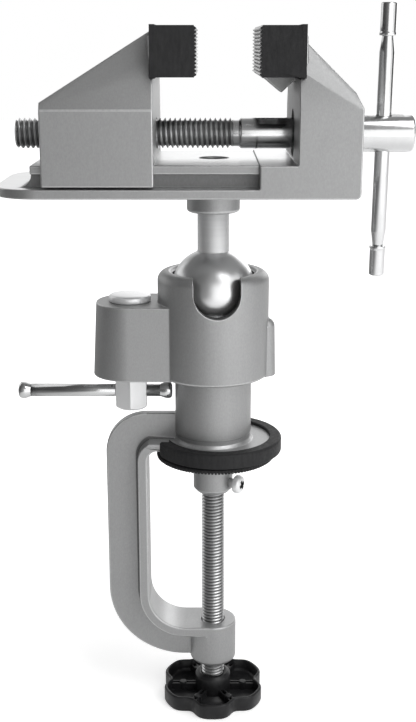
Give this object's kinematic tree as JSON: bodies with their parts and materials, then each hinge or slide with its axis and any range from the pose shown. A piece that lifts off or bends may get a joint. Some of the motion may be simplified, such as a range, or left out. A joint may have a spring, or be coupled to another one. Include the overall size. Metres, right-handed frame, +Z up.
{
  "type": "bench vise",
  "caption": "Small bench vise with rubber jaws on a tilting ball joint and swivelling sleeve, held to a table edge by a screw clamp.",
  "frame": {"origin": "middle of the upper clamp pad's lower face, where the table top lies, on the sleeve's turning axis", "axes": "+Z up the swivel axis, +X along the main screw to its handle, -Y to the side that the stem's notch opens on"},
  "size_m": [0.1647, 0.071, 0.3029],
  "materials": {
    "casting": "satin",
    "polished": "polished",
    "chrome": "gloss",
    "thread_steel": "oiled",
    "rubber": "matte",
    "knob_plastic": "matte"
  },
  "bodies": {
    "clamp": {"clamp_frame": "casting", "upper_clamp_pad": "rubber"},
    "sleeve": {"ball_sleeve": "casting", "ball_cup": "polished", "ball_shoe": "polished", "post_shoe": "polished", "lock_bolt": "chrome", "upper_wedge": "polished"},
    "lock_wedge": {"lower_wedge": "polished"},
    "lock_nut": {"lever_nut": "chrome"},
    "lock_lever": {"lever_bar": "chrome", "lever_bar_ends": "chrome"},
    "stem": {"ball_stem": "polished", "stem_washer": "polished", "stem_bolt": "chrome"},
    "head": {"vise_base": "casting", "fixed_jaw_pad": "rubber", "screw_washer": "chrome"},
    "jaw": {"moving_jaw": "casting", "moving_jaw_pad": "rubber", "jaw_nut": "polished"},
    "screw": {"main_screw": "thread_steel", "retaining_ring": "thread_steel"},
    "handle": {"handle_bar": "chrome", "handle_bar_caps": "chrome"},
    "foot": {"pressure_disc": "chrome", "lower_clamp_pad": "rubber", "disc_screw": "chrome"},
    "clamp_spindle": {"clamp_screw": "thread_steel", "clamp_knob": "knob_plastic"}
  },
  "joints": [
    {"name": "sleeve_swivel", "type": "hinge", "parent": "clamp", "child": "sleeve", "pos_m": [0, 0, 0.0693], "axis": [0, 0, 1], "continuous": true},
    {"name": "head_tilt", "type": "hinge", "parent": "sleeve", "child": "stem", "pos_m": [0, 0, 0.0693], "axis": [0.9976, 0.0698, 0], "range_deg": [-40, 90]},
    {"name": "head_turn", "type": "hinge", "parent": "stem", "child": "head", "pos_m": [0, 0, 0.1113], "axis": [0, 0, 1], "continuous": true},
    {"name": "jaw_slide", "type": "slide", "parent": "head", "child": "jaw", "axis": [1, 0, 0], "range_m": [-0.033, 0.0229]},
    {"name": "main_screw_turn", "type": "hinge", "parent": "head", "child": "screw", "pos_m": [0, 0, 0.1334], "axis": [1, 0, 0], "range_deg": [-4123, 5941]},
    {"name": "handle_slide", "type": "slide", "parent": "screw", "child": "handle", "axis": [0, -0.0523, 0.9986], "range_m": [-0.0297, 0.0379]},
    {"name": "wedge_lift", "type": "slide", "parent": "sleeve", "child": "lock_wedge", "axis": [0, 0, 1], "range_m": [-0.00045, 0]},
    {"name": "lever_turn", "type": "hinge", "parent": "lock_wedge", "child": "lock_nut", "pos_m": [-0.0347, 0, 0.0259], "axis": [0, 0, 1], "range_deg": [-130, 0]},
    {"name": "lever_slide", "type": "slide", "parent": "lock_nut", "child": "lock_lever", "axis": [1, 0, 0], "range_m": [-0.0057, 0.0009]},
    {"name": "clamp_travel", "type": "slide", "parent": "clamp", "child": "foot", "axis": [0, 0, 1], "range_m": [-0.05, 0]},
    {"name": "clamp_screw_turn", "type": "hinge", "parent": "foot", "child": "clamp_spindle", "pos_m": [0, 0, -0.06], "axis": [0, 0, 1], "range_deg": [-12001, 0]}
  ],
  "couplings": [
    {"joint": "main_screw_turn", "follows": "jaw_slide", "rad_per_m": -3141.6},
    {"joint": "lever_turn", "follows": "wedge_lift", "rad_per_m": 5026.5},
    {"joint": "clamp_screw_turn", "follows": "clamp_travel", "rad_per_m": 4188.8}
  ]
}
